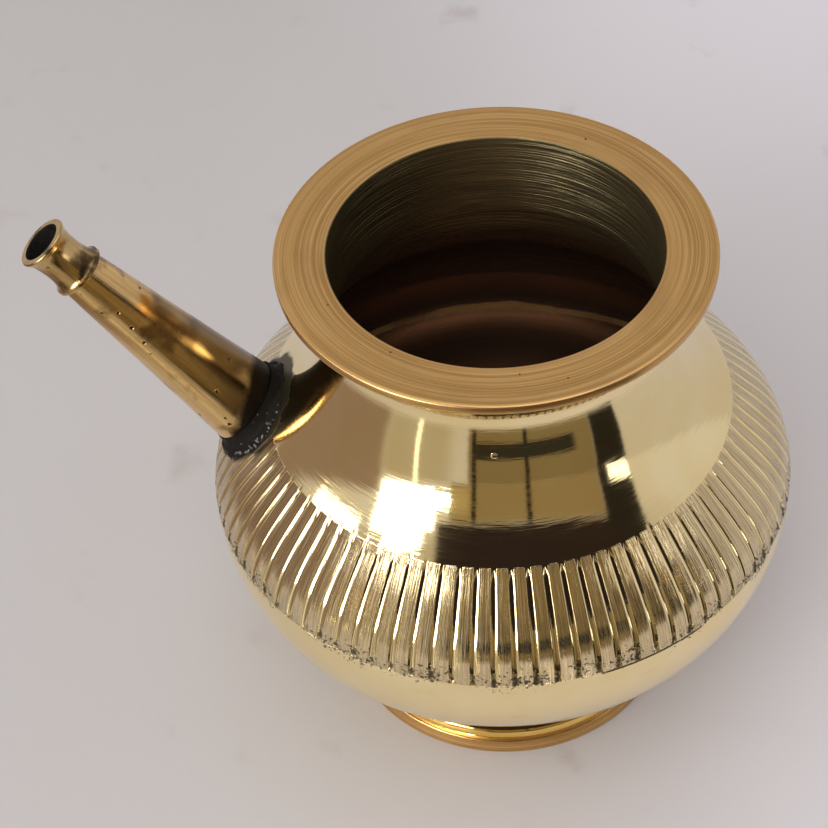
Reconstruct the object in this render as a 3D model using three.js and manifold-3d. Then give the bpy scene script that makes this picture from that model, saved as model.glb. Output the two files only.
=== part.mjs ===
// A spouted brass water pot: a round body with a band of cut flutes, a wide flat rim, a turned foot
// and a straight tapering spout. Millimetres, +Z up. It is drawn about the pot's own axis, with the
// spout to -X, and then moved along X until the origin lies under the middle of its whole length.
// The body is a casting in two halves that meet at the belly.
import * as THREE from "three";
import { mergeVertices } from "three/addons/utils/BufferGeometryUtils.js";
import Module from "manifold-3d";

// Rim and neck
const POT_HEIGHT = 140;
const RIM_RADIUS = 51.8;
const RIM_THICKNESS = 2.4;
const RIM_CHAMFER = 0.6;
const MOUTH_RADIUS = 39.4;
const NECK_RADIUS = 42.4;
const NECK_BASE = 124;
const NECK_JOINT = 118.5;

// Body halves
const BELLY_RADIUS = 72.9;
const BELLY_HEIGHT = 66.6;
const BELLY_HANDLE = 20; // how far the outline leaves the belly straight up
const NECK_HANDLE = 30; // how far it runs straight down below the neck
const BOWL_DEPTH = 54.5; // from the belly down to the lowest point of the bowl outside
const WALL = 2.4;

// Flutes
const FLUTE_COUNT = 92;
const FLUTE_START = 2; // of a flute's lower end above the belly
const FLUTE_LENGTH = 23.6;
const FLUTE_DEPTH = 0.5;
const FLUTE_WIDTH = 2;
const FLUTE_POINT = 0.2; // share of a flute's length that its pointed top takes
const FLUTE_TIP = 0.2; // width of the point's end as a share of the full width
const FLUTE_TURN = THREE.MathUtils.degToRad(-1.4); // of the first flute from +X

// Foot
const FOOT_RADIUS = 43;
const FOOT_FLANGE_HEIGHT = 3.6;
const FOOT_FLANGE_WIDTH = 4.5; // of the flat ring that touches the table
const FOOT_FLANGE_SLOPE = 0.9; // how much narrower the flange is at its top edge
const FOOT_WAIST_RADIUS = 35.8;
const FOOT_WAIST_DROP = 5; // from the foot's top down to its waist
const FOOT_TOP_RADIUS = 37.4;
const FOOT_BRAZE = 3; // thickness of the braze at the outer edge of the foot's top
const FOOT_WALL = 3;

// Spout, measured along its own axis from the body's surface
const SPOUT_ABOVE_BELLY = 21.1; // where the axis meets the body
const SPOUT_RISE = THREE.MathUtils.degToRad(52);
const SPOUT_LENGTH = 71.8;
const SPOUT_ROOT_RADIUS = 10.9;
const SPOUT_TIP_RADIUS = 5.9;
const SPOUT_WALL = 1.6;
const SPIGOT_LENGTH = 2.5;
const SPIGOT_RADIUS = 4.9;
const SPIGOT_BORE = 3.9;

// Nozzle
const NOZZLE_LENGTH = 12.6;
const NOZZLE_LIP_RADIUS = 6.7;
const NOZZLE_LIP_HEIGHT = 1.2;
const NOZZLE_WAIST_RADIUS = 5.5;
const NOZZLE_WAIST_DROP = 6.9; // from the mouth down to the waist
const NOZZLE_COLLAR_RADIUS = 6.9;
const NOZZLE_MOUTH_BORE = 4.9;
const NOZZLE_BORE = 4;
const SOCKET_STEP = 0.8; // how far the collar's rim stays wide

// Braze and plug
const SEAM_HEIGHT = 1; // braze between two flat joint faces
const BEAD_WIDTH = 3; // braze round the spout's root, where it lies on the body
const BEAD_HEIGHT = 4.2;
const BEAD_EDGE = 0.5; // its thickness where it ends on the spout
const BEAD_LUMP = 0.4; // how far its lumps swing in and out
const BEAD_WAVES = [3, 7]; // how many lumps of each of two lengths go round it
const ROOT_REACH = 10; // how deep the spout's blanks run in before the body trims them
const PLUG_RADIUS = 0.9;
const PLUG_HEIGHT = 115.5;
const PLUG_AZIMUTH = THREE.MathUtils.degToRad(-91);
const GAP = 0.3; // left between curved faces that touch
const SIDE_GAP = GAP * Math.SQRT2; // the same gap measured sideways on the sloping shoulder

// Fineness
const AROUND = FLUTE_COUNT; // the fluted half has one point or three for each flute
const PLAIN_AROUND = 60;
const SMALL_AROUND = 28;
const STEPS = 5;
const HALVINGS = 40; // of the search for a curve's point at a height

const wasm = await Module();
wasm.setup();

// Outlines of the body

const outerShoulder = shoulderCurve(0);
const innerShoulder = shoulderCurve(WALL);

// The outline from the belly up to the neck, moved inwards by an inset.
function shoulderCurve(inset) {
  return new THREE.CubicBezierCurve(
    new THREE.Vector2(BELLY_RADIUS - inset, BELLY_HEIGHT),
    new THREE.Vector2(BELLY_RADIUS - inset, BELLY_HEIGHT + BELLY_HANDLE),
    new THREE.Vector2(NECK_RADIUS - inset, NECK_BASE - NECK_HANDLE),
    new THREE.Vector2(NECK_RADIUS - inset, NECK_BASE),
  );
}

// The point of a rising curve at a height.
function pointAtHeight(curve, height) {
  let low = 0;
  let high = 1;
  for (let i = 0; i < HALVINGS; i++) {
    const middle = (low + high) / 2;
    if (curve.getPoint(middle).y < height) low = middle;
    else high = middle;
  }
  return new THREE.Vector2(curve.getPoint(low).x, height);
}

// Points of a rising curve between two heights, from the lower to the upper.
function stretch(curve, from, to, steps) {
  const points = [];
  for (let i = 0; i <= steps; i++) {
    points.push(pointAtHeight(curve, from + ((to - from) * i) / steps));
  }
  return points;
}

// Points of the bowl's elliptic outline, from its lowest point on the axis up to a height.
function bowlOutline(inset, top, steps) {
  const depth = BOWL_DEPTH - inset;
  const end = Math.asin((BELLY_HEIGHT - top) / depth);
  const points = [new THREE.Vector2(0, BELLY_HEIGHT - depth)];
  for (let i = 1; i <= steps; i++) {
    const angle = Math.PI / 2 + ((end - Math.PI / 2) * i) / steps;
    points.push(
      new THREE.Vector2(
        (BELLY_RADIUS - inset) * Math.cos(angle),
        BELLY_HEIGHT - depth * Math.sin(angle),
      ),
    );
  }
  return points;
}

// The height of the bowl's outer face over a radius.
function bowlHeight(radius) {
  const share = radius / BELLY_RADIUS;
  return BELLY_HEIGHT - BOWL_DEPTH * Math.sqrt(1 - share * share);
}

// Turning profiles into solids

// A solid of revolution about Z, from a profile that closes on itself or runs from axis to axis.
function turned(profile, segments) {
  const geometry = new THREE.LatheGeometry(profile, segments);
  geometry.rotateX(Math.PI / 2);
  return geometry;
}

function closed(profile) {
  return [...profile, profile[0].clone()];
}

function v2(x, y) {
  return new THREE.Vector2(x, y);
}

// A quarter of an ellipse between two points, which leaves the first one straight up or down.
function quarter(from, to, steps) {
  const points = [];
  for (let i = 1; i < steps; i++) {
    const angle = (Math.PI / 2) * (i / steps);
    points.push(
      v2(
        to.x + (from.x - to.x) * Math.cos(angle),
        from.y + (to.y - from.y) * Math.sin(angle),
      ),
    );
  }
  return points;
}

function toSolid(geometry, matrix = new THREE.Matrix4()) {
  const bare = geometry.clone().applyMatrix4(matrix);
  bare.deleteAttribute("normal");
  bare.deleteAttribute("uv");
  const merged = mergeVertices(bare, 1e-4);
  return new wasm.Manifold(
    new wasm.Mesh({
      numProp: 3,
      vertProperties: merged.attributes.position.array,
      triVerts: new Uint32Array(merged.index.array),
    }),
  );
}

function toGeometry(solid) {
  const mesh = solid.getMesh();
  const geometry = new THREE.BufferGeometry();
  geometry.setAttribute("position", new THREE.BufferAttribute(mesh.vertProperties, 3));
  geometry.setIndex(new THREE.BufferAttribute(mesh.triVerts, 1));
  geometry.computeVertexNormals();
  return geometry;
}

// Frames of the spout and the plug

const spoutRoot = pointAtHeight(outerShoulder, BELLY_HEIGHT + SPOUT_ABOVE_BELLY);

// Local +Z runs along the spout from the body's surface to the mouth.
function spoutMatrix() {
  const tilt = new THREE.Matrix4().makeRotationY(SPOUT_RISE - Math.PI / 2);
  return tilt.setPosition(-spoutRoot.x, 0, spoutRoot.y);
}

// Local +Z runs out of the wall, from the outer face.
function plugMatrix() {
  const at = pointAtHeight(outerShoulder, PLUG_HEIGHT);
  const below = pointAtHeight(outerShoulder, PLUG_HEIGHT - 1);
  const lean = Math.atan2(1, below.x - at.x);
  return new THREE.Matrix4()
    .makeRotationZ(PLUG_AZIMUTH)
    .multiply(new THREE.Matrix4().makeTranslation(at.x, 0, PLUG_HEIGHT))
    .multiply(new THREE.Matrix4().makeRotationY(lean));
}

// Body pieces

// The flange and the neck under it, down to the joint with the shoulder.
function rimRing() {
  const flangeUnder = POT_HEIGHT - RIM_THICKNESS;
  const neckTop = v2(NECK_RADIUS, NECK_BASE);
  const flangeInner = v2(RIM_RADIUS - RIM_CHAMFER, flangeUnder);
  return turned(
    closed([
      v2(MOUTH_RADIUS, NECK_JOINT),
      ...stretch(outerShoulder, NECK_JOINT, NECK_BASE, 2),
      ...quarter(neckTop, flangeInner, STEPS),
      flangeInner,
      v2(RIM_RADIUS, flangeUnder + RIM_CHAMFER),
      v2(RIM_RADIUS, POT_HEIGHT - RIM_CHAMFER),
      v2(RIM_RADIUS - RIM_CHAMFER, POT_HEIGHT),
      v2(MOUTH_RADIUS, POT_HEIGHT),
    ]),
    PLAIN_AROUND,
  );
}

// A flat ring of braze between two joint faces, as wide as the wall there.
function seamRing(height, inside, outside) {
  return turned(
    closed([
      v2(inside, height - SEAM_HEIGHT),
      v2(outside, height - SEAM_HEIGHT),
      v2(outside, height),
      v2(inside, height),
    ]),
    PLAIN_AROUND,
  );
}

const fluteBottom = BELLY_HEIGHT + FLUTE_START;
const fluteTop = fluteBottom + FLUTE_LENGTH;

// How deep and how wide the flutes are at a height, from their pointed tops to their blunt ends.
function fluteAt(height) {
  const fade = Math.min(1, (fluteTop - height) / (FLUTE_LENGTH * FLUTE_POINT));
  const atEnd = height <= fluteBottom || height >= fluteTop;
  return {
    depth: atEnd ? 0 : FLUTE_DEPTH * Math.sqrt(fade),
    halfAngle: (FLUTE_WIDTH / 2 / BELLY_RADIUS) * Math.max(FLUTE_TIP, fade),
  };
}

function fluteAngle(i) {
  return FLUTE_TURN + (2 * Math.PI * i) / AROUND;
}

// One row of points round the pot at one radius.
function plainRow(point) {
  const row = [];
  for (let i = 0; i < AROUND; i++) {
    const angle = fluteAngle(i);
    row.push([point.x * Math.cos(angle), point.x * Math.sin(angle), point.y]);
  }
  return row;
}

// One row of points round the pot with three points for each flute: its bottom and its two edges.
function flutedRow(point) {
  const { depth, halfAngle } = fluteAt(point.y);
  const row = [];
  for (let i = 0; i < AROUND; i++) {
    const angle = fluteAngle(i);
    const places = [
      [0, depth],
      [halfAngle, 0],
      [(2 * Math.PI) / AROUND - halfAngle, 0],
    ];
    for (const [turn, cut] of places) {
      const radius = point.x - cut;
      row.push([radius * Math.cos(angle + turn), radius * Math.sin(angle + turn), point.y]);
    }
  }
  return row;
}

// Joins rows of one or three points a flute into a closed skin, and the last row to the first.
function skinRows(rows) {
  const positions = rows.flat(2);
  const starts = [];
  let total = 0;
  for (const row of rows) {
    starts.push(total);
    total += row.length;
  }
  const index = [];
  for (let k = 0; k < rows.length; k++) {
    const next = (k + 1) % rows.length;
    joinRows(index, rows[k].length, starts[k], rows[next].length, starts[next]);
  }
  const geometry = new THREE.BufferGeometry();
  geometry.setAttribute("position", new THREE.Float32BufferAttribute(positions, 3));
  geometry.setIndex(index);
  geometry.computeVertexNormals();
  return geometry;
}

function joinRows(index, countA, startA, countB, startB) {
  const perA = countA / AROUND;
  const perB = countB / AROUND;
  for (let cell = 0; cell < AROUND; cell++) {
    const a = (i) => startA + ((cell * perA + i) % countA);
    const b = (i) => startB + ((cell * perB + i) % countB);
    let i = 0;
    let j = 0;
    while (i < perA || j < perB) {
      if (i / perA <= j / perB && i < perA) {
        index.push(a(i), a(i + 1), b(j));
        i++;
      } else {
        index.push(a(i), b(j + 1), b(j));
        j++;
      }
    }
  }
}

// The upper half of the body: smooth shoulder, then the fluted band down to the belly seam.
function shoulderShell() {
  const top = NECK_JOINT - SEAM_HEIGHT;
  const fluted = stretch(outerShoulder, fluteBottom, fluteTop, STEPS);
  const smooth = stretch(outerShoulder, fluteTop, top, STEPS).slice(1);
  const inside = stretch(innerShoulder, BELLY_HEIGHT, top, STEPS + 1).reverse();
  const rows = [
    plainRow(v2(BELLY_RADIUS, BELLY_HEIGHT)),
    ...fluted.map(flutedRow),
    ...smooth.map(plainRow),
    ...inside.map(plainRow),
  ];
  return skinRows(rows);
}

// The lower half of the body, a plain round bowl.
function bowlShell() {
  const top = BELLY_HEIGHT - SEAM_HEIGHT;
  const outside = bowlOutline(0, top, STEPS + 3);
  const inside = bowlOutline(WALL, top, STEPS + 2).reverse();
  return turned([...outside, ...inside], PLAIN_AROUND);
}

// The foot's flat top lies under the bowl's outer face, with room for the braze.
const footTop = bowlHeight(FOOT_TOP_RADIUS) - GAP - FOOT_BRAZE;
const footInner = FOOT_WAIST_RADIUS - FOOT_WALL;

// The turned foot: a flared flange, a waist and a flat top under the bowl.
function footRing() {
  const flangeTop = v2(FOOT_RADIUS - FOOT_FLANGE_SLOPE, FOOT_FLANGE_HEIGHT);
  const waist = v2(FOOT_WAIST_RADIUS, footTop - FOOT_WAIST_DROP);
  return turned(
    closed([
      v2(FOOT_RADIUS - FOOT_FLANGE_WIDTH, 0),
      v2(FOOT_RADIUS, 0),
      flangeTop,
      ...quarter(waist, flangeTop, STEPS).reverse(),
      waist,
      v2(FOOT_TOP_RADIUS, footTop),
      v2(footInner, footTop),
      v2(footInner, waist.y),
    ]),
    PLAIN_AROUND,
  );
}

// The braze that fills the wedge between the foot's flat top and the bowl.
function footBraze() {
  const upper = [];
  for (const radius of [FOOT_TOP_RADIUS, (FOOT_TOP_RADIUS + footInner) / 2, footInner]) {
    upper.push(v2(radius, bowlHeight(radius) - GAP));
  }
  const lower = [v2(footInner, footTop), v2(FOOT_TOP_RADIUS, footTop)];
  return turned(closed([...lower, ...upper]), PLAIN_AROUND);
}

// Spout pieces, turned about their own axis and then trimmed by the body

// The spout's outer radius at a distance along its axis.
function spoutRadius(along) {
  const slope = (SPOUT_ROOT_RADIUS - SPOUT_TIP_RADIUS) / (SPOUT_LENGTH - NOZZLE_LENGTH);
  return SPOUT_ROOT_RADIUS - slope * along;
}

// The upper body without its hollow, a little larger, which trims what is brazed on to it.
function bodyBlank() {
  const skin = stretch(shoulderCurve(-SIDE_GAP), BELLY_HEIGHT, NECK_BASE, 2 * STEPS);
  return toSolid(turned([v2(0, BELLY_HEIGHT), ...skin, v2(0, NECK_BASE)], AROUND));
}

function spoutTube() {
  const collarAt = SPOUT_LENGTH - NOZZLE_LENGTH;
  const blank = turned(
    closed([
      v2(spoutRadius(-ROOT_REACH) - SPOUT_WALL, -ROOT_REACH),
      v2(spoutRadius(-ROOT_REACH), -ROOT_REACH),
      v2(SPOUT_TIP_RADIUS, collarAt),
      v2(SPIGOT_RADIUS, collarAt),
      v2(SPIGOT_RADIUS, collarAt + SPIGOT_LENGTH),
      v2(SPIGOT_BORE, collarAt + SPIGOT_LENGTH),
      v2(SPIGOT_BORE, collarAt),
    ]),
    SMALL_AROUND,
  );
  return toGeometry(toSolid(blank, spoutMatrix()).subtract(bodyBlank()));
}

// The trumpet tip: a sharp collar over the spigot, a waist and a flared lip.
function spoutNozzle() {
  const foot = SPOUT_LENGTH - NOZZLE_LENGTH + GAP;
  const socketTop = foot + SPIGOT_LENGTH;
  const waist = v2(NOZZLE_WAIST_RADIUS, SPOUT_LENGTH - NOZZLE_WAIST_DROP);
  const collar = v2(NOZZLE_COLLAR_RADIUS, foot + SOCKET_STEP);
  const lip = v2(NOZZLE_LIP_RADIUS, SPOUT_LENGTH - NOZZLE_LIP_HEIGHT);
  const geometry = turned(
    closed([
      v2(SPIGOT_RADIUS + GAP, foot),
      v2(NOZZLE_COLLAR_RADIUS, foot),
      collar,
      ...quarter(waist, collar, STEPS).reverse(),
      waist,
      ...quarter(waist, lip, STEPS),
      lip,
      v2(NOZZLE_LIP_RADIUS, SPOUT_LENGTH),
      v2(NOZZLE_MOUTH_BORE, SPOUT_LENGTH),
      v2(NOZZLE_BORE, waist.y),
      v2(NOZZLE_BORE, socketTop),
      v2(SPIGOT_RADIUS + GAP, socketTop),
    ]),
    SMALL_AROUND,
  );
  return geometry.applyMatrix4(spoutMatrix());
}

// The lumpy fillet of braze that holds the spout to the body.
function spoutBraze() {
  const inner = (along) => spoutRadius(along) + GAP;
  const skirt = v2(inner(0) + BEAD_WIDTH, 0);
  const crest = v2(inner(BEAD_HEIGHT) + BEAD_EDGE, BEAD_HEIGHT);
  const blank = turned(
    closed([
      v2(inner(-ROOT_REACH), -ROOT_REACH),
      v2(inner(-ROOT_REACH) + BEAD_WIDTH, -ROOT_REACH),
      skirt,
      ...quarter(crest, skirt, STEPS).reverse(),
      crest,
      v2(inner(BEAD_HEIGHT), BEAD_HEIGHT),
    ]),
    SMALL_AROUND,
  );
  roughen(blank, (point) => Math.hypot(point.x, point.y) > inner(point.z) + BEAD_EDGE / 2);
  return toGeometry(toSolid(blank, spoutMatrix()).subtract(bodyBlank()));
}

// Pushes the chosen points in and out round the axis, as hand-run braze lies.
function roughen(geometry, chosen) {
  const position = geometry.attributes.position;
  const point = new THREE.Vector3();
  for (let i = 0; i < position.count; i++) {
    point.fromBufferAttribute(position, i);
    if (!chosen(point)) continue;
    const angle = Math.atan2(point.y, point.x);
    const [long, short] = BEAD_WAVES;
    const lump = (Math.sin(long * angle) + Math.sin(short * angle + 1)) / 2;
    const share = 1 + (BEAD_LUMP * lump) / Math.hypot(point.x, point.y);
    position.setXY(i, point.x * share, point.y * share);
  }
}

// Holes and plug

// A plain rod along local Z, placed by a matrix.
function rod(radius, from, to, matrix) {
  const profile = [v2(0, from), v2(radius, from), v2(radius, to), v2(0, to)];
  return toSolid(turned(profile, SMALL_AROUND / 2), matrix);
}

// The shoulder with the hole that lets water into the spout and the hole for the plug.
function drilledShoulder() {
  const spoutHole = rod(spoutRadius(0) - SPOUT_WALL, -ROOT_REACH, ROOT_REACH, spoutMatrix());
  const plugHole = rod(PLUG_RADIUS + GAP, -2 * WALL, WALL, plugMatrix());
  return toGeometry(toSolid(shoulderShell()).subtract(spoutHole).subtract(plugHole));
}

function castingPlug() {
  return toGeometry(rod(PLUG_RADIUS, -WALL, 0, plugMatrix()));
}

// The pot

const finishes = {
  turnedBrass: { color: 0xb58c45, roughness: 0.42, metalness: 1 },
  polishedBrass: { color: 0xd8bd72, roughness: 0.12, metalness: 1 },
  castBrass: { color: 0xc08a3a, roughness: 0.25, metalness: 1 },
  braze: { color: 0x2c2823, roughness: 0.75, metalness: 0.4 },
  seam: { color: 0xc9a85c, roughness: 0.3, metalness: 1 },
};

const pot = new THREE.Group();

function addPiece(name, geometry, finish) {
  const mesh = new THREE.Mesh(geometry, new THREE.MeshStandardMaterial(finishes[finish]));
  mesh.name = name;
  pot.add(mesh);
}

const neckOuter = pointAtHeight(outerShoulder, NECK_JOINT).x;

addPiece("rim_ring", rimRing(), "turnedBrass");
addPiece("neck_seam", seamRing(NECK_JOINT, MOUTH_RADIUS, neckOuter), "seam");
addPiece("shoulder_shell", drilledShoulder(), "polishedBrass");
addPiece("belly_seam", seamRing(BELLY_HEIGHT, BELLY_RADIUS - WALL, BELLY_RADIUS), "seam");
addPiece("bowl_shell", bowlShell(), "polishedBrass");
addPiece("foot_braze", footBraze(), "seam");
addPiece("foot_ring", footRing(), "turnedBrass");
addPiece("spout_tube", spoutTube(), "castBrass");
addPiece("spout_nozzle", spoutNozzle(), "castBrass");
addPiece("spout_braze", spoutBraze(), "braze");
addPiece("casting_plug", castingPlug(), "castBrass");

const reach = new THREE.Box3().setFromObject(pot);
for (const mesh of pot.children) {
  mesh.geometry.translate(-(reach.min.x + reach.max.x) / 2, 0, 0);
}

export default pot;
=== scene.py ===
# %% [markdown]
# # A spouted brass water pot
# This is a small brass pot for pouring water: a round belly with a band of cut flutes, a wide flat
# rim, a turned foot and a straight spout with a trumpet tip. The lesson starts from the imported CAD
# part, which fixes every place and size, and builds a finer piece over each of its solids.

import math
from functools import partialmethod

import bmesh
import bpy
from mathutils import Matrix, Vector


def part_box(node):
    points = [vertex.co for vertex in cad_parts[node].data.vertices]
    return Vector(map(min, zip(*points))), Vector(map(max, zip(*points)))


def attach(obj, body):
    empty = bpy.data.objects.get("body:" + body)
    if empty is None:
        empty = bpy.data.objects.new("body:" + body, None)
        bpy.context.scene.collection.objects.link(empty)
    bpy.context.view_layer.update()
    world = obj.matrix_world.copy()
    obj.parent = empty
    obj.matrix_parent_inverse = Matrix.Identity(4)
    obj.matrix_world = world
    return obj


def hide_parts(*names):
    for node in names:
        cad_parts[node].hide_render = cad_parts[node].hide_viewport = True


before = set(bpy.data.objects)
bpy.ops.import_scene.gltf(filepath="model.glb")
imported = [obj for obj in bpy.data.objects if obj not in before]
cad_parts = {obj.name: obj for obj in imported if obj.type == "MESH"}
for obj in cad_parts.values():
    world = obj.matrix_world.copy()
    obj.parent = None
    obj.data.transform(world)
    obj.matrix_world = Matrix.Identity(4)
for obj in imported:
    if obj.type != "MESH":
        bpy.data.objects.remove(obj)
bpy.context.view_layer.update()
print("CAD nodes:", ", ".join(sorted(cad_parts)))

# %% [markdown]
# ## Measures
# Everything is in metres, Z is up and the spout points to -X. The origin lies under the middle of
# the whole length, spout included, so the pot's own axis is the middle of the rim's box.

# %% Measures of the body
MM = 0.001

rim_low, rim_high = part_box("rim_ring")
AXIS = (rim_low.x + rim_high.x) / 2

POT_HEIGHT = 140 * MM
RIM_RADIUS = 51.8 * MM
RIM_THICKNESS = 2.4 * MM
MOUTH_RADIUS = 39.4 * MM
NECK_RADIUS = 42.4 * MM
NECK_BASE = 124 * MM
NECK_JOINT = 118.5 * MM
BELLY_RADIUS = 72.9 * MM
BELLY_HEIGHT = 66.6 * MM
BELLY_HANDLE = 20 * MM
NECK_HANDLE = 30 * MM
BOWL_DEPTH = 54.5 * MM
WALL = 2.4 * MM
SEAM = 1 * MM

print(f"the pot's axis is at x = {AXIS / MM:.2f} mm, the rim at {rim_high.z / MM:.1f} mm")

# %% [markdown]
# ## The outline of the body
# A pot is an outline turned about an axis. From the belly to the neck the outline is an S: it
# leaves the belly straight up, leans in over the flutes, and ends straight up in the neck. A cubic
# curve with two handles gives that S with no kink that polished metal would show. The bowl below
# is a quarter of an ellipse.

# %% Outline helpers
HALVINGS = 40


def shoulder_point(t, inset):
    """Radius and height of the shoulder's curve at t, from the belly (0) to the neck (1)."""
    corners = (
        (BELLY_RADIUS - inset, BELLY_HEIGHT),
        (BELLY_RADIUS - inset, BELLY_HEIGHT + BELLY_HANDLE),
        (NECK_RADIUS - inset, NECK_BASE - NECK_HANDLE),
        (NECK_RADIUS - inset, NECK_BASE),
    )
    weights = ((1 - t) ** 3, 3 * t * (1 - t) ** 2, 3 * t * t * (1 - t), t**3)
    radius = sum(weight * corner[0] for weight, corner in zip(weights, corners))
    height = sum(weight * corner[1] for weight, corner in zip(weights, corners))
    return radius, height


def shoulder_radius(height, inset=0.0):
    """Radius of the shoulder at a height, found by halving."""
    low, high = 0.0, 1.0
    for _ in range(HALVINGS):
        middle = (low + high) / 2
        if shoulder_point(middle, inset)[1] < height:
            low = middle
        else:
            high = middle
    return shoulder_point(low, inset)[0]


def bowl_radius(height, inset=0.0):
    """Radius of the bowl at a height."""
    share = min(1.0, (BELLY_HEIGHT - height) / (BOWL_DEPTH - inset))
    return (BELLY_RADIUS - inset) * math.sqrt(1 - share * share)


def spread(start, end, count):
    """Numbers from start to end in equal steps, both ends included."""
    return [start + (end - start) * i / count for i in range(count + 1)]


print(f"the shoulder is {shoulder_radius(100 * MM) / MM:.1f} mm in radius at 100 mm")

# %% [markdown]
# ## Working with operators
# Operators act on all that is selected, so each new piece starts from nothing selected. The walls
# are pulled up the way a potter pulls clay: a ring is extruded a little, scaled to the outline's
# next radius, and extruded again.

# %% Operator helpers


def clear_selection():
    if bpy.context.object and bpy.context.object.mode != "OBJECT":
        bpy.ops.object.mode_set(mode="OBJECT")
    bpy.ops.object.select_all(action="DESELECT")


def take_name(piece, name):
    piece.name = name
    piece.data.name = name
    return piece


def pick(piece):
    """Selects one piece alone, for the operators that follow."""
    clear_selection()
    piece.select_set(True)
    bpy.context.view_layer.objects.active = piece


def settle(piece):
    """Puts the piece's place and turn into its mesh, so that its object sits at the origin."""
    pick(piece)
    bpy.ops.object.transform_apply(location=True, rotation=True, scale=True)


def edit(piece):
    pick(piece)
    bpy.ops.object.mode_set(mode="EDIT")


def edit_whole(piece):
    edit(piece)
    bpy.ops.mesh.select_all(action="SELECT")


def add_ring(name, radius, height, around, axis=AXIS):
    """A bare ring of points, the start of every turned piece."""
    clear_selection()
    bpy.ops.mesh.primitive_circle_add(vertices=around, radius=radius, location=(axis, 0, height))
    ring = take_name(bpy.context.object, name)
    settle(ring)
    return ring


def pull_wall(outline, axis=AXIS):
    """Extrudes the selected points along an outline of (radius, height) about an upright axis."""
    radius, height = outline[0]
    for next_radius, next_height in outline[1:]:
        rise = {"value": (0, 0, next_height - height)}
        bpy.ops.mesh.extrude_region_move(TRANSFORM_OT_translate=rise)
        share = next_radius / radius
        place = (axis, 0, next_height)
        bpy.ops.transform.resize(value=(share, share, 1), center_override=place)
        radius, height = next_radius, next_height


def close_skin():
    """Merges points that meet, and turns every face outwards."""
    bpy.ops.mesh.select_all(action="SELECT")
    bpy.ops.mesh.remove_doubles(threshold=MERGE)
    bpy.ops.mesh.normals_make_consistent(inside=False)
    bpy.ops.object.mode_set(mode="OBJECT")


def turn_solid(name, outline, around, axis=AXIS):
    """A turned piece whose outline runs once round its wall and back to its start."""
    piece = add_ring(name, *outline[0], around, axis)
    edit_whole(piece)
    pull_wall([*outline, outline[0]], axis)
    close_skin()
    return piece


def smooth(piece, degrees):
    """Shades the piece smooth, with edges sharper than the angle left crisp."""
    pick(piece)
    bpy.ops.object.shade_smooth_by_angle(angle=math.radians(degrees))


def carve(piece, cutter):
    """Cuts the cutter out of the piece, and then deletes the cutter."""
    pick(piece)
    cut = piece.modifiers.new("cut", "BOOLEAN")
    cut.operation = "DIFFERENCE"
    cut.solver = "EXACT"
    cut.object = cutter
    bpy.ops.object.modifier_apply(modifier=cut.name)
    pick(cutter)
    bpy.ops.object.delete()


def hand_over(piece, node):
    """Rides the piece on the pot, in place of the CAD node that it stands for."""
    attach(piece, "root")
    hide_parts(node)
    print(f"{piece.name}: {len(piece.data.polygons)} faces, for {node}")


MERGE = 1e-6
NEAR = 0.02 * MM
AROUND = 276
SHARP = 35

print(f"turned pieces have {AROUND} sides")

# %% [markdown]
# ## Finishes
# All of the pot is brass, but each part was left by another tool: a lathe, a polishing mop, a
# scraper or a torch. So each finish is a brass colour with that tool's marks, as noise stretched
# the way the tool ran. Object coordinates keep the marks in place and at their real size.

# %% Node helpers


class Nodes:
    """Short ways to add and join the nodes of one finish."""

    def __init__(self, tree):
        self.tree = tree

    def add(self, kind, **settings):
        node = self.tree.nodes.new("ShaderNode" + kind)
        for name, value in settings.items():
            setattr(node, name, value)
        return node

    def feed(self, socket, value):
        """Joins a node's output to the socket, or writes a plain value there."""
        if isinstance(value, bpy.types.NodeSocket):
            self.tree.links.new(value, socket)
        else:
            socket.default_value = value

    def fill(self, node, *values):
        for socket, value in zip(node.inputs, values):
            self.feed(socket, value)
        return node.outputs[0]

    def calc(self, operation, *values):
        return self.fill(self.add("Math", operation=operation), *values)

    plus = partialmethod(calc, "ADD")
    minus = partialmethod(calc, "SUBTRACT")
    times = partialmethod(calc, "MULTIPLY")
    over = partialmethod(calc, "DIVIDE")
    # A value times a slope, plus a start.
    line = partialmethod(calc, "MULTIPLY_ADD")

    def vector(self, x, y, z):
        return self.fill(self.add("CombineXYZ"), x, y, z)

    def ramp(self, value, low, high, start=0.0, end=1.0):
        """Goes smoothly from start to end while the value goes from low to high."""
        node = self.add("MapRange", interpolation_type="SMOOTHSTEP")
        return self.fill(node, value, low, high, start, end)

    def grain(self, vector, w=0.0, scale=1.0, detail=2.0):
        """Cloudy noise, between 0 and 1 and mostly near the middle."""
        node = self.add("TexNoise", noise_dimensions="4D")
        self.feed(node.inputs["Vector"], vector)
        self.feed(node.inputs["W"], w)
        node.inputs["Scale"].default_value = scale
        node.inputs["Detail"].default_value = detail
        return node.outputs[0]

    def dots(self, vector, scale):
        """Distance from the nearest of many scattered points, as a share of their spacing."""
        node = self.add("TexVoronoi")
        self.feed(node.inputs["Vector"], vector)
        node.inputs["Scale"].default_value = scale
        return node.outputs["Distance"]

    def blend(self, share, first, second):
        """Mixes two colours, or the outputs of two nodes that give a colour."""
        node = self.add("Mix", data_type="RGBA")
        self.feed(node.inputs[0], share)
        for socket, value in zip(node.inputs[6:8], (first, second)):
            self.feed(socket, (*value, 1) if isinstance(value, tuple) else value)
        return node.outputs[2]

    def bump(self, height, depth, below=None):
        """Raises the surface by up to the depth, over another bump if there is one."""
        node = self.add("Bump")
        node.inputs["Distance"].default_value = depth
        self.feed(node.inputs["Height"], height)
        if below:
            self.feed(node.inputs["Normal"], below)
        return node.outputs[0]


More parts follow.
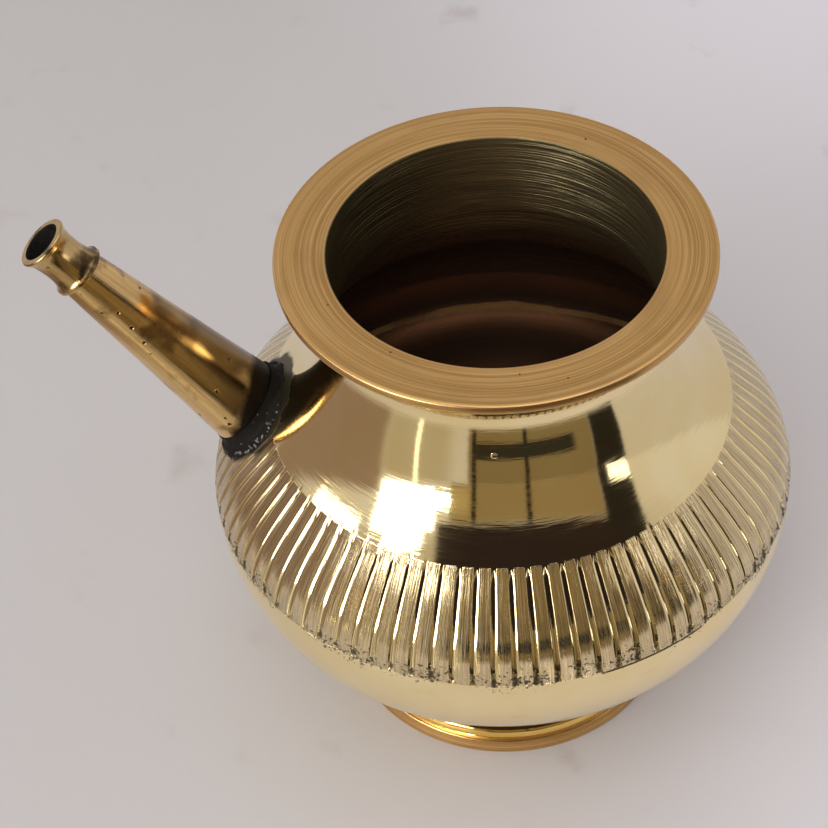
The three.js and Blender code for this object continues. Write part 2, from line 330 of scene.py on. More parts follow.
def start_finish(name):
    """A metal with nothing on it yet, and the means to add to it."""
    print("making", name)
    finish = bpy.data.materials.new(name)
    finish.use_nodes = True
    shader = finish.node_tree.nodes["Principled BSDF"]
    shader.inputs["Metallic"].default_value = 1
    return finish, Nodes(finish.node_tree), shader


def coat(nodes, shader, colour, roughness, skin):
    """Gives the metal its colour, its roughness and its bumps."""
    for name, value in (("Base Color", colour), ("Roughness", roughness), ("Normal", skin)):
        nodes.feed(shader.inputs[name], value)


def place_on(nodes, place=(AXIS, 0, 0), turn=(0, 0, 0)):
    """Position in metres about a piece's own axis, which is local Z."""
    centred = nodes.add("Mapping", vector_type="TEXTURE")
    nodes.feed(centred.inputs["Vector"], nodes.add("TexCoord").outputs["Object"])
    centred.inputs["Location"].default_value = place
    centred.inputs["Rotation"].default_value = turn
    return centred.outputs[0]


class Round:
    """Where a point is round an axis: its direction, its distance and its height."""

    def __init__(self, nodes, place):
        parts = nodes.add("SeparateXYZ")
        nodes.feed(parts.inputs[0], place)
        self.x, self.y, self.height = parts.outputs
        squares = [nodes.times(side, side) for side in (self.x, self.y)]
        self.radius = nodes.calc("SQRT", nodes.plus(*squares))
        self.across = nodes.over(self.x, self.radius)
        self.along = nodes.over(self.y, self.radius)
        self.nodes = nodes

    def streaks(self, around, upright, w=0.0, detail=2.0):
        """Noise in streaks of one length round the axis, at the belly, and another upwards."""
        across, along = (
            self.nodes.times(share, BELLY_RADIUS / around) for share in (self.across, self.along)
        )
        place = self.nodes.vector(across, along, self.nodes.over(self.height, upright))
        return self.nodes.grain(place, w, detail=detail)

    def lines(self, pitch, length, detail=2.0):
        """Noise in lines round the axis, so far apart and so long at the belly."""
        return self.streaks(length, pitch, self.nodes.over(self.radius, pitch), detail)

    def grooves(self, pitch, length):
        """Noise in lines that run up and down, so far apart at the belly and so long."""
        return self.streaks(pitch, length)


def dress(piece, *finishes):
    piece.data.materials.clear()
    for finish in finishes:
        piece.data.materials.append(finish)


def line_with(piece, finish, wanted, axis=AXIS):
    """Gives another finish to the faces that a test picks by their middle and their normal."""
    piece.data.materials.append(finish)
    edit(piece)
    bpy.ops.mesh.select_mode(type="FACE")
    mesh = bmesh.from_edit_mesh(piece.data)
    for face in mesh.faces:
        middle = face.calc_center_median()
        middle.x -= axis
        face.select = wanted(middle, face.normal)
    bmesh.update_edit_mesh(piece.data)
    piece.active_material_index = len(piece.data.materials) - 1
    bpy.ops.object.material_slot_assign()
    bpy.ops.mesh.select_mode(type="VERT")
    bpy.ops.object.mode_set(mode="OBJECT")


INWARD = 0.2


def faces_axis(middle, normal):
    """Tells whether a face looks in towards the pot's axis."""
    inward = -(middle.x * normal.x + middle.y * normal.y)
    return inward > INWARD * math.hypot(middle.x, middle.y)


def complete(piece, finish, node, linings=(), sharp=SHARP):
    """Smooths, dresses and lines a piece, and hands it over."""
    smooth(piece, sharp)
    dress(piece, finish)
    for lining, wanted in linings:
        line_with(piece, lining, wanted)
    hand_over(piece, node)


print("the finishes are made of", ", ".join(n for n in dir(Nodes) if not n.startswith("_")))

# %% [markdown]
# ## Turned brass
# The rim and the foot's flange were left as the lathe cut them. Three sizes of ring are laid over
# each other, with a few small pits where the casting had bubbles.

# %% Make turned brass
RING_BRIGHT = (0.8, 0.5, 0.2)
RING_DARK = (0.56, 0.33, 0.12)
RING_PALE = (0.86, 0.6, 0.29)
RING_DULL = (0.5, 0.3, 0.12)
PIT_BROWN = (0.1, 0.07, 0.04)
turned_brass, nodes, shader = start_finish("turned_brass")
place = place_on(nodes)
here = Round(nodes, place)
fine = here.lines(0.3 * MM, 150 * MM, detail=1)
middling = here.lines(0.9 * MM, 60 * MM)
broad = here.lines(3 * MM, 40 * MM)
patches = nodes.grain(place, scale=70, detail=3)
pits = nodes.ramp(nodes.dots(place, 130), 0.05, 0.03)
colour = nodes.blend(nodes.ramp(fine, 0.35, 0.65), RING_BRIGHT, RING_DARK)
colour = nodes.blend(nodes.ramp(middling, 0.5, 0.7, 0, 0.3), colour, RING_PALE)
tone = nodes.times(broad, patches)
colour = nodes.blend(nodes.ramp(tone, 0.26, 0.42, 0, 0.35), colour, RING_DULL)
colour = nodes.blend(pits, colour, PIT_BROWN)
skin = nodes.bump(broad, 0.012 * MM)
skin = nodes.bump(middling, 0.02 * MM, skin)
skin = nodes.bump(fine, 0.03 * MM, skin)
coat(nodes, shader, colour, nodes.ramp(middling, 0.3, 0.7, 0.26, 0.36), skin)

# %% [markdown]
# ## Old brass inside
# Nobody polishes the inside. It went brown deep down and olive by the rim, and only the rings of
# the lathe show. A ring just under the belly is painted brighter in places: a painted highlight.

# %% Make the old brass
PAINTED_ARC_HEIGHT = 54 * MM
PAINTED_ARC_BRIGHT = (1, 0.74, 0.36)
DEEP_BROWNS = ((0.28, 0.18, 0.12), (0.42, 0.28, 0.19))
RIM_OLIVES = ((0.16, 0.12, 0.06), (0.25, 0.2, 0.1))
old_brass, nodes, shader = start_finish("old_brass")
place = place_on(nodes)
here = Round(nodes, place)
rings = here.lines(2.2 * MM, 120 * MM)
scores = here.lines(0.5 * MM, 90 * MM)
depth_share = nodes.ramp(here.height, 85 * MM, 122 * MM)
deep = nodes.blend(rings, *DEEP_BROWNS)
near_rim = nodes.blend(rings, *RIM_OLIVES)
colour = nodes.blend(depth_share, deep, near_rim)
# A painted highlight: a ring just under the belly, brighter in places, where light gathers on the
# wall.
waver = nodes.times(nodes.grain(place, scale=60), 3 * MM)
off_ring = nodes.minus(here.height, nodes.plus(waver, PAINTED_ARC_HEIGHT))
painted_arc_and_scraped_tone = nodes.ramp(nodes.calc("ABSOLUTE", off_ring), 1.3 * MM, 0.5 * MM)
painted_arc_and_scraped_tone = nodes.times(painted_arc_and_scraped_tone, nodes.ramp(nodes.grain(place, w=1, scale=35), 0.4, 0.55, 0.3, 1))
colour = nodes.blend(painted_arc_and_scraped_tone, colour, PAINTED_ARC_BRIGHT)
shine = nodes.line(painted_arc_and_scraped_tone, 0.2, nodes.ramp(depth_share, 0, 1, 0.13, 0.3))
shader.inputs["Metallic"].default_value = 0.9
skin = nodes.bump(rings, 0.03 * MM)
skin = nodes.bump(nodes.times(scores, depth_share), 0.5 * MM, skin)
coat(nodes, shader, colour, nodes.line(scores, 0.1, shine), skin)

# %% [markdown]
# ## Polished brass
# The mop left a mirror with very fine lines round it, which fray the edges of what is reflected.
# Between the flutes the scraper's marks run up and down, and black dirt sits in the lower ends.
# The spout's measures come first, because the torch left soot on the shoulder round its root.

# %% Measures of the spout
SPOUT_HEIGHT = 87.7 * MM
SPOUT_ROOT = 10.9 * MM
SPOUT_RISE = math.radians(52)
SPOUT_TILT = SPOUT_RISE - math.pi / 2
SPOUT_PLACE = (AXIS - shoulder_radius(SPOUT_HEIGHT), 0, SPOUT_HEIGHT)
print(f"the spout's root is at x = {SPOUT_PLACE[0] / MM:.1f} mm")

# %% Measures of the flutes
FLUTES = 92
PITCH = 2 * math.pi / FLUTES
FLUTE_TURN = math.radians(-1.4)
FLUTE_TOP = 92.2 * MM
FLUTE_BOTTOM = 68.6 * MM
FLUTE_DEPTH = 0.34 * MM
FLUTE_HALF = 0.92 * MM
LAND_ROUND = 0.07 * MM
POINT_LENGTH = 1.8 * MM
BLUNT_LENGTH = 0.6 * MM
STEP_PITCH = 0.25 * MM
STEP_LEAN = math.radians(19)
print(f"flutes are {PITCH * BELLY_RADIUS / MM:.2f} mm apart at the belly")

# %% Make polished brass
MIRROR_TONES = ((0.96, 0.8, 0.45), (0.92, 0.73, 0.37))
SCRAPED_TONES = ((0.84, 0.68, 0.4), (0.58, 0.45, 0.25))
TARNISH = (0.16, 0.1, 0.05)
DIRT_BLACK = (0.045, 0.036, 0.03)
DIRT_HEIGHT = 1.2 * MM
DIRT_REACH = 1.9 * MM
SMOKE_BLACK = (0.03, 0.026, 0.022)
polished_brass, nodes, shader = start_finish("polished_brass")
place = place_on(nodes)
here = Round(nodes, place)
fine = here.lines(0.4 * MM, 14 * MM)
frayed = here.lines(1.2 * MM, 9 * MM)
clouds = nodes.grain(place, scale=45, detail=3)
colour = nodes.blend(nodes.ramp(clouds, 0.35, 0.7), *MIRROR_TONES)

# The fluted band, and how far a point lies from the bottom of its groove, in half widths.
band = nodes.times(
    nodes.ramp(here.height, FLUTE_BOTTOM - 0.3 * MM, FLUTE_BOTTOM + 0.3 * MM),
    nodes.ramp(here.height, FLUTE_TOP + 0.1 * MM, FLUTE_TOP - 0.2 * MM),
)
turns = nodes.over(nodes.calc("ARCTAN2", here.along, here.across), PITCH)
phase = nodes.calc("FRACT", nodes.minus(turns, FLUTE_TURN / PITCH))
off_groove = nodes.calc("MINIMUM", phase, nodes.minus(1, phase))
off_groove = nodes.times(off_groove, PITCH * BELLY_RADIUS / FLUTE_HALF)
lands = nodes.times(nodes.ramp(off_groove, 0.85, 1.05), band)

# Between the grooves the brass stayed duller, in streaks, and each groove's bottom is tarnished.
scraped = here.grooves(0.3 * MM, 9 * MM)
streaked = here.grooves(1.1 * MM, 14 * MM)
painted_arc_and_scraped_tone = nodes.blend(nodes.ramp(scraped, 0.35, 0.65), *SCRAPED_TONES)
colour = nodes.blend(nodes.times(lands, 0.85), colour, painted_arc_and_scraped_tone)
bottom = nodes.times(nodes.ramp(off_groove, 0.4, 0.1, 0, 0.35), band)
colour = nodes.blend(bottom, colour, TARNISH)

# Black dirt sits in the lower end of each groove and is strewn over the lands beside it.
crumbs = nodes.grain(place, scale=1 / (0.8 * MM), detail=4)
patchy = nodes.grain(place, w=2, scale=1 / (9 * MM))
above_end = nodes.minus(here.height, FLUTE_BOTTOM + DIRT_HEIGHT)
above_end = nodes.over(above_end, DIRT_REACH)
above_end = nodes.times(above_end, above_end)
far_off = nodes.line(off_groove, off_groove, above_end)
blobs = nodes.line(patchy, 2.4, nodes.times(crumbs, 3.6))
blobs = nodes.minus(blobs, far_off)
strewn = nodes.line(patchy, 0.5, crumbs)
strewn = nodes.minus(strewn, nodes.times(above_end, 0.03))
dirt = nodes.calc("MAXIMUM", nodes.ramp(blobs, 2.2, 2.9), nodes.ramp(strewn, 0.8, 0.9))
below_end = nodes.minus(here.height, FLUTE_BOTTOM - 0.5 * MM)
line_share = nodes.ramp(nodes.calc("ABSOLUTE", below_end), 0.7 * MM, 0.2 * MM, 0, 0.5)
line_share = nodes.plus(line_share, nodes.times(crumbs, 0.4))
stretch = nodes.ramp(nodes.grain(place, w=5, scale=1 / (30 * MM)), 0.5, 0.6, 0, 0.2)
line_dirt = nodes.ramp(nodes.plus(line_share, stretch), 0.78, 0.86)
dirt = nodes.calc("MAXIMUM", dirt, line_dirt)
colour = nodes.blend(nodes.times(dirt, 0.88), colour, DIRT_BLACK)

# The torch sooted the shoulder round the spout, further out on the side towards the neck.
near_spout = Round(nodes, place_on(nodes, SPOUT_PLACE, (0, SPOUT_TILT, 0)))
smoke = nodes.grain(place, w=6, scale=180, detail=4)
reach = nodes.line(near_spout.across, 1.2 * MM, SPOUT_ROOT + 0.4 * MM)
reach = nodes.line(smoke, 7 * MM, reach)
soot = nodes.ramp(nodes.minus(near_spout.radius, reach), 0.8 * MM, -0.8 * MM)
soot = nodes.times(soot, nodes.ramp(near_spout.height, -12 * MM, -9 * MM))
colour = nodes.blend(nodes.times(soot, 0.9), colour, SMOKE_BLACK)
shine = nodes.line(lands, 0.03, nodes.ramp(fine, 0.3, 0.7, 0.05, 0.1))
shine = nodes.line(nodes.calc("MAXIMUM", dirt, soot), 0.4, shine)

# The scraper left the lands streaked, in tiny steps whose faces lean down.
steps = nodes.calc("FRACT", nodes.over(here.height, STEP_PITCH))
steps = nodes.times(steps, lands)
mopped = nodes.minus(1, lands)
scraped = nodes.minus(scraped, 0.5)
streaked = nodes.minus(streaked, 0.5)
skin = nodes.bump(nodes.times(nodes.minus(frayed, 0.5), mopped), 0.02 * MM)
skin = nodes.bump(nodes.times(nodes.minus(fine, 0.5), mopped), 0.012 * MM, skin)
skin = nodes.bump(nodes.times(streaked, lands), 0.25 * MM, skin)
skin = nodes.bump(nodes.times(scraped, lands), 0.11 * MM, skin)
skin = nodes.bump(steps, STEP_PITCH * math.tan(STEP_LEAN), skin)
skin = nodes.bump(dirt, 0.05 * MM, skin)
coat(nodes, shader, colour, shine, skin)

# %% [markdown]
# ## Cast brass
# The spout was cast from a redder brass and polished by hand along its length, which left some
# pits and brown stains. The torch left its root black, most of all on the side towards the neck.
# The tip is the same brass with more of the brown left on it, so one function makes both.

# %% Make cast brass
BROWNING_AND_DARK_REFLECTION = (0.17, 0.115, 0.07)
CAST_PIT = (0.06, 0.035, 0.02)
SOOT_BLACK = (0.02, 0.016, 0.013)


def cast_finish(name, bright, dull, stain, least):
    """Hand-polished cast brass, stained wherever its cloud pattern passes the least value."""
    finish, nodes, shader = start_finish(name)
    place = place_on(nodes, SPOUT_PLACE, (0, SPOUT_TILT, 0))
    here = Round(nodes, place)
    strokes = here.grooves(5 * MM, 14 * MM)
    scratches = here.grooves(1.2 * MM, 25 * MM)
    stains = nodes.grain(place, scale=110, detail=5)
    few = nodes.ramp(nodes.grain(place, w=3, scale=90), 0.46, 0.58)
    pits = nodes.times(nodes.ramp(nodes.dots(place, 260), 0.16, 0.08), few)
    colour = nodes.blend(nodes.ramp(strokes, 0.3, 0.7), bright, dull)
    stained = nodes.ramp(stains, least, least + 0.14)
    colour = nodes.blend(stained, colour, stain)
    colour = nodes.blend(pits, colour, CAST_PIT)

    # Brown covers the half by the root, most on the side towards the neck: partly the torch's
    # browning, partly a painted dark reflection of what that side mirrors.
    browned_and_mirror_dark = nodes.line(here.across, 45 * MM, -8 * MM)
    browned_and_mirror_dark = nodes.minus(here.height, nodes.line(stains, 24 * MM, browned_and_mirror_dark))
    colour = nodes.blend(nodes.ramp(browned_and_mirror_dark, 6 * MM, -22 * MM, 0, 0.85), colour, BROWNING_AND_DARK_REFLECTION)

    # Soot climbs the root, higher on the side towards the neck.
    reach = nodes.line(here.across, 6 * MM, 1 * MM)
    reach = nodes.line(stains, 6 * MM, reach)
    soot = nodes.ramp(nodes.minus(here.height, reach), 2.4 * MM, -0.6 * MM)
    colour = nodes.blend(soot, colour, SOOT_BLACK)
    shine = nodes.line(soot, 0.35, nodes.ramp(stains, 0.35, 0.7, 0.12, 0.28))
    skin = nodes.bump(strokes, 0.03 * MM)
    skin = nodes.bump(scratches, 0.02 * MM, skin)
    skin = nodes.bump(stains, 0.05 * MM, skin)
    skin = nodes.bump(pits, -0.15 * MM, skin)
    coat(nodes, shader, colour, shine, skin)
    return finish


CAST_TONES = ((0.8, 0.56, 0.25), (0.66, 0.43, 0.17), (0.3, 0.18, 0.07))
TIP_TONES = ((0.66, 0.46, 0.21), (0.48, 0.32, 0.13), (0.09, 0.06, 0.03))
cast_brass = cast_finish("cast_brass", *CAST_TONES, 0.5)
tip_brass = cast_finish("tip_brass", *TIP_TONES, 0.47)

# %% [markdown]
# ## Dark braze
# The torch left the braze black, and rough as cinder. At its outer edge the file touched it, so
# grey specks of bare metal show there.

# %% Make dark braze
CINDER_TONES = ((0.003, 0.003, 0.002), (0.016, 0.013, 0.011))
SPECK_GREY = (0.26, 0.245, 0.22)
dark_braze, nodes, shader = start_finish("dark_braze")
place = place_on(nodes, SPOUT_PLACE, (0, SPOUT_TILT, 0))
off_tube = Round(nodes, place).radius
soot = nodes.grain(place, scale=700, detail=4)
rim_share = nodes.ramp(off_tube, SPOUT_ROOT + 1 * MM, SPOUT_ROOT + 2.2 * MM, 0, 0.13)
specks = nodes.plus(nodes.grain(place, w=7, scale=1100, detail=3), rim_share)
specks = nodes.ramp(specks, 0.68, 0.76)
colour = nodes.blend(soot, *CINDER_TONES)
colour = nodes.blend(specks, colour, SPECK_GREY)
coat(nodes, shader, colour, nodes.ramp(soot, 0.3, 0.7, 0.5, 0.8), nodes.bump(soot, 0.25 * MM))
nodes.feed(shader.inputs["Metallic"], specks)
shader.inputs["Specular IOR Level"].default_value = 0.08

# %% [markdown]
# ## The turned rim and neck
# The rim is a thick flat flange with its edges just broken, and below it the neck flares in a
# small cove. One closed outline makes the lot: up the outside, round the cove, out under the
# flange, over its edge and back down the inside of the mouth. Rings lie close together at the
# edges, so that they stay crisp where light catches them.

# %% Turn the rim
RIM_EDGE = 0.6 * MM
MOUTH_EDGE = 0.35 * MM
ARC_STEPS = 5
COVE_EDGE = 0.1 * MM


def arc(centre_radius, centre_height, size, start, end, steps=ARC_STEPS):
    """Points of a round edge, from one angle to another in degrees; 0 points out, 90 up."""
    points = []
    for angle in spread(math.radians(start), math.radians(end), steps):
        radius = centre_radius + size * math.cos(angle)
        points.append((radius, centre_height + size * math.sin(angle)))
    return points


def cove(start, end, steps):
    """Points strictly between two ends of a quarter ellipse that leaves the first straight up."""
    points = []
    for angle in spread(0, math.pi / 2, steps)[1:-1]:
        radius = end[0] + (start[0] - end[0]) * math.cos(angle)
        points.append((radius, start[1] + (end[1] - start[1]) * math.sin(angle)))
    return points


def rim_outline():
    under = POT_HEIGHT - RIM_THICKNESS
    neck_top = (NECK_RADIUS, NECK_BASE)
    flange = (RIM_RADIUS - RIM_EDGE, under)
    outside = [(shoulder_radius(z), z) for z in spread(NECK_JOINT, NECK_BASE, 8)]
    edge = arc(RIM_RADIUS - RIM_EDGE, under + RIM_EDGE, RIM_EDGE, -90, 0)
    edge += arc(RIM_RADIUS - RIM_EDGE, POT_HEIGHT - RIM_EDGE, RIM_EDGE, 0, 90)
    top = [(r, POT_HEIGHT) for r in spread(RIM_RADIUS - RIM_EDGE, MOUTH_RADIUS + MOUTH_EDGE, 12)]
    mouth = arc(MOUTH_RADIUS + MOUTH_EDGE, POT_HEIGHT - MOUTH_EDGE, MOUTH_EDGE, 90, 180)
    inside = [(MOUTH_RADIUS, z) for z in spread(POT_HEIGHT - MOUTH_EDGE, NECK_JOINT, 16)]
    return outside + cove(neck_top, flange, 14) + edge + top[1:] + mouth[1:] + inside[1:]


def in_cove(middle, normal):
    """Tells whether a face lies on the polished neck or cove, under the flange."""
    under = POT_HEIGHT - RIM_THICKNESS
    return middle.z < under - COVE_EDGE and not faces_axis(middle, normal)


rim = turn_solid("turned_rim", rim_outline(), AROUND)
rim_linings = [(polished_brass, in_cove), (old_brass, faces_axis)]
complete(rim, turned_brass, "rim_ring", rim_linings)

# %% [markdown]
# ## The fluted shoulder
# Ninety-two flutes are cut into the shoulder's lower half. Each is a shallow hollow that starts in a
# point, where the cutter enters, and stops bluntly at the belly. The lands between them are a
# little rounded, from the scraper and from years of rubbing. One strip of the wall is modelled
# with its groove and then spun into the ring.

# %% Shape of one groove
# Where the strip's points lie across it, from the groove's bottom to the next groove's.
WALL_COLUMNS = [share * FLUTE_HALF / BELLY_RADIUS for share in (0, 0.25, 0.5, 0.75, 1)]
LAND_COLUMNS = [share * PITCH for share in (0.33, 0.5, 0.67)]
COLUMNS = WALL_COLUMNS + LAND_COLUMNS + [PITCH - column for column in reversed(WALL_COLUMNS)]


def groove_share(height):
    """Share of its full size that the groove has at a height."""
    above_end = (height - FLUTE_BOTTOM) / BLUNT_LENGTH
    below_point = (FLUTE_TOP - height) / POINT_LENGTH
    return max(0.0, min(1.0, above_end, below_point))


def groove_depth(column, height):
    """How far a column is pressed in, by the groove's hollow or by a land's rounding."""
    across = min(column, PITCH - column) * BELLY_RADIUS
    if across < FLUTE_HALF:
        down = 1 - (across / FLUTE_HALF) ** 2
        return groove_share(height) * (LAND_ROUND + (FLUTE_DEPTH - LAND_ROUND) * down)
    land_half = PITCH * BELLY_RADIUS / 2 - FLUTE_HALF
    off_edge = (across - FLUTE_HALF) / land_half
    return groove_share(height) * LAND_ROUND * (1 - off_edge) ** 2


def point_turn(column, height):
    """How far a wall's column turns towards the groove's bottom, where the groove is a point."""
    pull = 1 - min(1.0, (FLUTE_TOP - height) / POINT_LENGTH)
    across = math.remainder(column, PITCH)
    on_wall = abs(across) * BELLY_RADIUS < FLUTE_HALF + NEAR
    return -pull * across if on_wall else 0.0


print(f"half-way up, the groove is {groove_depth(0, 80 * MM) / MM:.2f} mm deep")

# %% Pull up one strip of the shoulder
NEAR_TURN = 1e-4
SHELL_TOP = NECK_JOINT - SEAM
TOP_ROW = 0.5 * MM
BLUNT_ROWS = (0.3 * MM, 0.6 * MM, 1.2 * MM)
BAND_START = 2 * MM
# With no window open, transform.rotate turns the other way.
TURN_SIGN = -1


def select_points(piece, wanted):
    """Selects the points whose turn from the first flute, radius and height pass a test."""
    mesh = bmesh.from_edit_mesh(piece.data)
    for point in mesh.verts:
        x, y, z = point.co.x - AXIS, point.co.y, point.co.z
        turn = math.remainder(math.atan2(y, x) - FLUTE_TURN, 2 * math.pi)
        point.select = wanted(turn, math.hypot(x, y), z)
    mesh.select_flush_mode()
    bmesh.update_edit_mesh(piece.data)


def shell_heights():
    """Heights of the strip's rows: close together where the groove starts and ends."""
    below = spread(BELLY_HEIGHT, FLUTE_BOTTOM, 4)
    blunt_end = [FLUTE_BOTTOM + rise for rise in BLUNT_ROWS]
    band = spread(FLUTE_BOTTOM + BAND_START, FLUTE_TOP - POINT_LENGTH, 20)
    point = spread(FLUTE_TOP - POINT_LENGTH, FLUTE_TOP, 6)[1:]
    smooth_part = spread(FLUTE_TOP, SHELL_TOP - TOP_ROW, 24)[1:]
    return below + blunt_end + band + point + smooth_part + [SHELL_TOP]


def start_strip(name):
    """An arc of points one flute wide, cut from a full ring at the belly."""
    clear_selection()
    steps = len(COLUMNS) - 1
    around = FLUTES * steps
    bpy.ops.mesh.primitive_circle_add(
        vertices=around,
        radius=BELLY_RADIUS,
        location=(AXIS, 0, BELLY_HEIGHT),
        rotation=(0, 0, FLUTE_TURN),
    )
    strip = take_name(bpy.context.object, name)
    settle(strip)
    edit(strip)
    step = PITCH / steps
    last = PITCH + step / 2
    select_points(strip, lambda turn, far, z: not -step / 2 < turn < last)
    bpy.ops.mesh.delete(type="VERT")
    for place, wanted in enumerate(COLUMNS):
        select_points(strip, lambda turn, far, z: abs(turn - place * step) < NEAR_TURN)
        bpy.ops.transform.rotate(
            value=TURN_SIGN * (wanted - place * step), orient_axis="Z", center_override=(AXIS, 0, 0)
        )
    return strip


def press_groove(strip, heights):
    """Presses the groove into the strip's outer face, row by row and column by column."""
    for height in heights:
        radius = shoulder_radius(height)
        for column in COLUMNS:
            depth = groove_depth(column, height)
            if depth == 0:
                continue
            select_points(
                strip,
                lambda turn, far, z: abs(turn - column) < NEAR_TURN
                and abs(z - height) < NEAR
                and abs(far - radius) < NEAR,
            )
            share = 1 - depth / radius
            place = (AXIS, 0, height)
            bpy.ops.transform.resize(value=(share, share, 1), center_override=place)
            turn = TURN_SIGN * point_turn(column, height)
            bpy.ops.transform.rotate(value=turn, orient_axis="Z", center_override=place)


def spin_strip(copies, about=AXIS):
    """Repeats the whole strip round the axis."""
    bpy.ops.mesh.select_all(action="SELECT")
    bpy.ops.mesh.spin(
        steps=copies - 1,
        dupli=True,
        angle=2 * math.pi * (copies - 1) / copies,
        center=(about, 0, 0),
        axis=(0, 0, 1),
    )


def faces_centre(middle, normal):
    """Tells whether a face looks in towards the middle of the pot."""
    across = middle.x * normal.x + middle.y * normal.y
    return across + (middle.z - BELLY_HEIGHT) * normal.z < 0


shoulder = start_strip("fluted_shoulder")
rows = shell_heights()
outside = [(shoulder_radius(z), z) for z in rows]
inside = [(shoulder_radius(z, WALL), z) for z in spread(SHELL_TOP, BELLY_HEIGHT, 16)]
bpy.ops.mesh.select_all(action="SELECT")
pull_wall([*outside, *inside, outside[0]])
bpy.ops.mesh.select_all(action="SELECT")
bpy.ops.mesh.remove_doubles(threshold=MERGE)
press_groove(shoulder, rows)
spin_strip(FLUTES)
close_skin()
print(f"the shoulder has {len(shoulder.data.polygons)} faces before it is drilled")

# %% [markdown]
# ## Holes in the shoulder
# The spout stands over a hole in the shoulder, and a tiny round plug near the neck fills a hole
# left from casting. Both holes are cut with round rods, along the spout and across the wall.

# %% Measures of the holes
SPOUT_LENGTH = 71.8 * MM
SPOUT_TIP = 5.9 * MM
SPOUT_WALL = 1.6 * MM
NOZZLE_LENGTH = 12.6 * MM
PLUG_RADIUS = 0.9 * MM
PLUG_HEIGHT = 115.5 * MM
PLUG_AZIMUTH = math.radians(-91)
PLUG_GAP = 0.12 * MM
PLUG_SIDES = 32
DRILL_SIDES = 64
DRILL_REACH = 10 * MM


def along_spout(piece):
    """Stands a piece that was turned about the Z axis at the spout's root, along the spout."""
    piece.rotation_euler = (0, SPOUT_TILT, 0)
    piece.location = SPOUT_PLACE
    settle(piece)


def across_wall(piece):
    """Lays a piece that was turned about the Z axis across the wall at the plug."""
    below = shoulder_radius(PLUG_HEIGHT - MM)
    at = shoulder_radius(PLUG_HEIGHT)
    lean = math.atan2(MM, below - at)
    piece.rotation_euler = (0, lean, PLUG_AZIMUTH)
    x = AXIS + at * math.cos(PLUG_AZIMUTH)
    piece.location = (x, at * math.sin(PLUG_AZIMUTH), PLUG_HEIGHT)
    settle(piece)


def add_rod(name, radius, low, high, sides):
    clear_selection()
    middle = (0, 0, (low + high) / 2)
    bpy.ops.mesh.primitive_cylinder_add(
        vertices=sides, radius=radius, depth=high - low, location=middle
    )
    rod = take_name(bpy.context.object, name)
    settle(rod)
    return rod


print(f"the spout is {SPOUT_LENGTH / MM:.1f} mm long")

# %% Drill the shoulder
bore = SPOUT_ROOT - SPOUT_WALL
spout_drill = add_rod("spout_drill", bore, -DRILL_REACH, DRILL_REACH, DRILL_SIDES)
along_spout(spout_drill)
carve(shoulder, spout_drill)

plug_drill = add_rod("plug_drill", PLUG_RADIUS + PLUG_GAP, -2 * WALL, WALL, PLUG_SIDES)
across_wall(plug_drill)
carve(shoulder, plug_drill)

darkened = [(old_brass, faces_centre)]
complete(shoulder, polished_brass, "shoulder_shell", darkened, sharp=15)

# %% [markdown]
# ## The bowl
# The lower half is a plain bowl, polished outside. Its outline ends on the axis, where the rings
# shrink to a point, so the outside and the inside are pulled down from the joint one after the
# other.

# %% Turn the bowl
BOWL_TOP = BELLY_HEIGHT - SEAM
BOWL_STEPS = 44
POLE = 0.02 * MM


def bowl_outline(inset):
    """Points from the joint down to the middle of the bowl."""
    depth = BOWL_DEPTH - inset
    first = math.asin((BELLY_HEIGHT - BOWL_TOP) / depth)
    points = []
    for angle in spread(first, math.pi / 2, BOWL_STEPS)[:-1]:
        radius = (BELLY_RADIUS - inset) * math.cos(angle)
        points.append((radius, BELLY_HEIGHT - depth * math.sin(angle)))
    return points + [(POLE, BELLY_HEIGHT - depth)]


def select_ring(piece, radius, height):
    """Selects the points of one ring of a turned piece."""
    select_points(piece, lambda turn, far, z: math.hypot(far - radius, z - height) < NEAR)


def cap_ring(piece, radius, height):
    """Closes the small hole that is left at a pole."""
    select_ring(piece, radius, height)
    bpy.ops.mesh.merge(type="CENTER")


outer_bowl = bowl_outline(0)
inner_bowl = bowl_outline(WALL)
bowl = add_ring("round_bowl", *outer_bowl[0], AROUND)
edit_whole(bowl)
pull_wall(outer_bowl)
cap_ring(bowl, *outer_bowl[-1])
select_ring(bowl, *outer_bowl[0])
pull_wall([outer_bowl[0], *inner_bowl])
cap_ring(bowl, *inner_bowl[-1])
close_skin()
complete(bowl, polished_brass, "bowl_shell", darkened)

# %% [markdown]
# ## The joints of the body
# The body's pieces are brazed together and polished until the joint hardly shows. Each joint is a
# thin ring whose outside follows the outline of the body, so the reflections run on across it.

# %% Turn the joints


def joint_outline(top, outer, inner, steps=3):
    """A ring's outline, up its outside and down its inside; outer and inner give the radius."""
    outside_rows = [(outer(z), z) for z in spread(top - SEAM, top, steps)]
    inside_rows = [(inner(z), z) for z in spread(top, top - SEAM, steps)]
    return outside_rows + inside_rows


def make_joint(name, node, outline):
    joint = turn_solid(name, outline, AROUND)
    complete(joint, polished_brass, node, [(old_brass, faces_axis)])


neck_outline = joint_outline(NECK_JOINT, shoulder_radius, lambda z: MOUTH_RADIUS)
make_joint("neck_joint", "neck_seam", neck_outline)

belly_outline = joint_outline(BELLY_HEIGHT, bowl_radius, lambda z: bowl_radius(z, WALL))
make_joint("belly_joint", "belly_seam", belly_outline)

# %% [markdown]
# ## The foot
# The foot is a separate turned ring: a flat flange on the table, a deep polished waist, and a flat
# top. A second, thin ring fills the gap between that top and the bowl, as the braze does.

